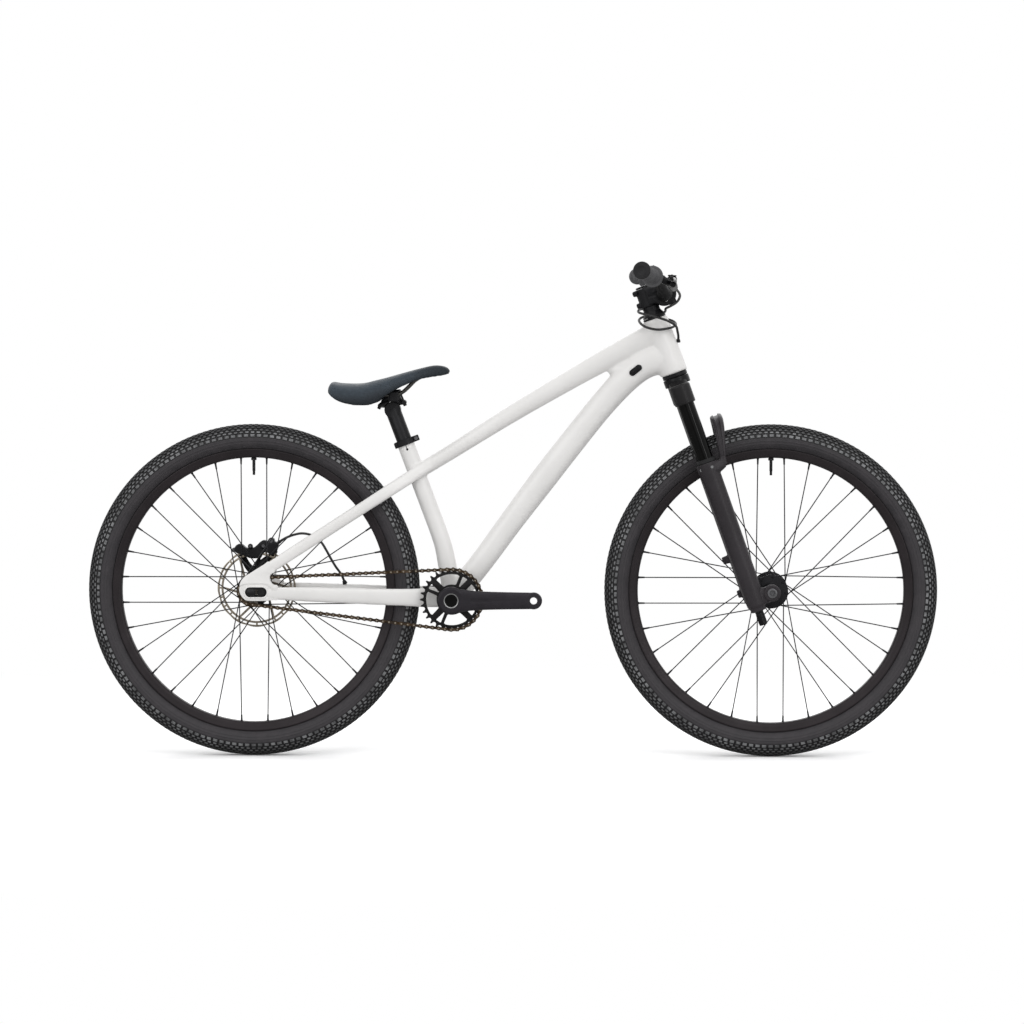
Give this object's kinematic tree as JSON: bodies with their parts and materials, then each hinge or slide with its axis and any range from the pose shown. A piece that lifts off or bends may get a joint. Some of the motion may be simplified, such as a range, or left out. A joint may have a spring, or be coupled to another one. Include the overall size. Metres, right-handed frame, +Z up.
{
  "type": "dirt jump bike",
  "caption": "Hardtail dirt jump bike with a sloping white frame, short-travel suspension fork, single-speed chain drive, low saddle, wide bar and knobbly tyres.",
  "frame": {"origin": "on the ground, half way between the two wheel contact points", "axes": "+X forward along the wheelbase, +Y to the rider's left, +Z up"},
  "size_m": [1.716, 0.7838, 0.9918],
  "materials": {
    "frame": "gloss white paint",
    "tyre_rubber": "matt moulded rubber",
    "rim_alloy": "satin black",
    "spoke_steel": "black coated wire",
    "hub_alloy": "satin black anodised",
    "valve_brass": "black coated",
    "rotor_steel": "ground steel",
    "chain_steel": "bronze brown",
    "drive_steel": "dark steel",
    "crank_alloy": "satin dark grey",
    "fork_magnesium": "satin black paint",
    "crown_alloy": "satin black",
    "stanchion": "gloss black anodised",
    "black_alloy": "satin black anodised",
    "seal_rubber": "matt",
    "grip_rubber": "matt ribbed",
    "hose_plastic": "smooth hose jacket",
    "rail_steel": "satin",
    "saddle_cover": "slate blue-grey cover"
  },
  "bodies": {
    "frame": {"head_tube": "frame", "top_tube": "frame", "down_tube": "frame", "seat_tube": "frame", "bottom_bracket_shell": "frame", "chainstay_right": "frame", "chainstay_left": "frame", "seatstay_right": "frame", "seatstay_left": "frame", "dropout_right": "frame", "dropout_left": "frame", "cable_port_plug": "seal_rubber", "rear_brake_caliper": "black_alloy", "rear_brake_hose": "hose_plastic", "chain": "chain_steel", "bearing_cartridge": "black_alloy", "seat_collar": "black_alloy", "headset_cup_lower": "black_alloy", "headset_cup_upper": "black_alloy", "rear_axle": "drive_steel"},
    "steerer": {"fork_crown": "crown_alloy", "stanchion_right": "stanchion", "stanchion_left": "stanchion", "headset_cover": "black_alloy", "stem": "black_alloy", "stem_faceplate": "black_alloy", "stem_top_cap": "black_alloy", "handlebar": "black_alloy", "grip_right": "grip_rubber", "grip_left": "grip_rubber", "brake_perch": "black_alloy", "front_brake_hose": "hose_plastic"},
    "lowers": {"fork_lowers": "fork_magnesium", "fork_seal_right": "seal_rubber", "fork_seal_left": "seal_rubber", "front_axle": "black_alloy"},
    "rebound_dial": {"rebound_knob": "black_alloy"},
    "front_wheel": {"front_tyre": "tyre_rubber", "front_rim": "rim_alloy", "front_spokes_right": "spoke_steel", "front_spokes_left": "spoke_steel", "front_hub": "hub_alloy", "front_valve": "valve_brass"},
    "rear_wheel": {"rear_tyre": "tyre_rubber", "rear_rim": "rim_alloy", "rear_spokes_right": "spoke_steel", "rear_spokes_left": "spoke_steel", "rear_hub": "hub_alloy", "rear_valve": "valve_brass", "rear_rotor": "rotor_steel"},
    "crankset": {"crank_arm_right": "crank_alloy", "crank_arm_left": "crank_alloy", "crank_spindle": "drive_steel", "chainring": "crank_alloy"},
    "freewheel": {"rear_sprocket": "drive_steel"},
    "lever": {"brake_lever": "black_alloy"},
    "post": {"seatpost": "black_alloy"},
    "saddle_body": {"saddle_clamp": "black_alloy", "saddle_rails": "rail_steel", "saddle": "saddle_cover"}
  },
  "joints": [
    {"name": "steering", "type": "hinge", "parent": "frame", "child": "steerer", "pos_m": [0.3267, 0, 0.774], "axis": [-0.3355, 0, 0.9421], "range_deg": [-90, 90], "deforming": ["front_brake_hose"]},
    {"name": "fork_compression", "type": "slide", "parent": "steerer", "child": "lowers", "axis": [-0.3355, 0, 0.9421], "range_m": [0, 0.1], "stiffness_N_per_m": 6000, "springref_m": -0.03},
    {"name": "front_wheel_spin", "type": "hinge", "parent": "lowers", "child": "front_wheel", "pos_m": [0.522, 0, 0.336], "axis": [0, 1, 0], "continuous": true},
    {"name": "rear_wheel_spin", "type": "hinge", "parent": "frame", "child": "rear_wheel", "pos_m": [-0.522, 0, 0.336], "axis": [0, 1, 0], "continuous": true},
    {"name": "crank_spin", "type": "hinge", "parent": "frame", "child": "crankset", "pos_m": [-0.12, 0, 0.32], "axis": [0, 1, 0], "continuous": true},
    {"name": "sprocket_spin", "type": "hinge", "parent": "frame", "child": "freewheel", "pos_m": [-0.522, 0, 0.336], "axis": [0, 1, 0], "continuous": true},
    {"name": "brake_lever_pull", "type": "hinge", "parent": "steerer", "child": "lever", "pos_m": [0.31484, -0.2299, 0.95366], "axis": [-0.2021, 0, -0.9794], "range_deg": [0, 14], "stiffness_Nm_per_rad": 0.5, "springref_deg": -17.19},
    {"name": "rebound_adjust", "type": "hinge", "parent": "lowers", "child": "rebound_dial", "pos_m": [0.49912, -0.065, 0.28978], "axis": [-0.3355, 0, 0.9421], "range_deg": [-360, 360]},
    {"name": "seatpost_height", "type": "slide", "parent": "frame", "child": "post", "axis": [-0.3518, 0, 0.9361], "range_m": [-0.05, 0.03]},
    {"name": "saddle_tilt", "type": "hinge", "parent": "post", "child": "saddle_body", "pos_m": [-0.24063, 0, 0.7004], "axis": [0, 1, 0], "range_deg": [-10, 10]}
  ],
  "couplings": [
    {"joint": "sprocket_spin", "follows": "crank_spin", "ratio": 2.3077}
  ]
}
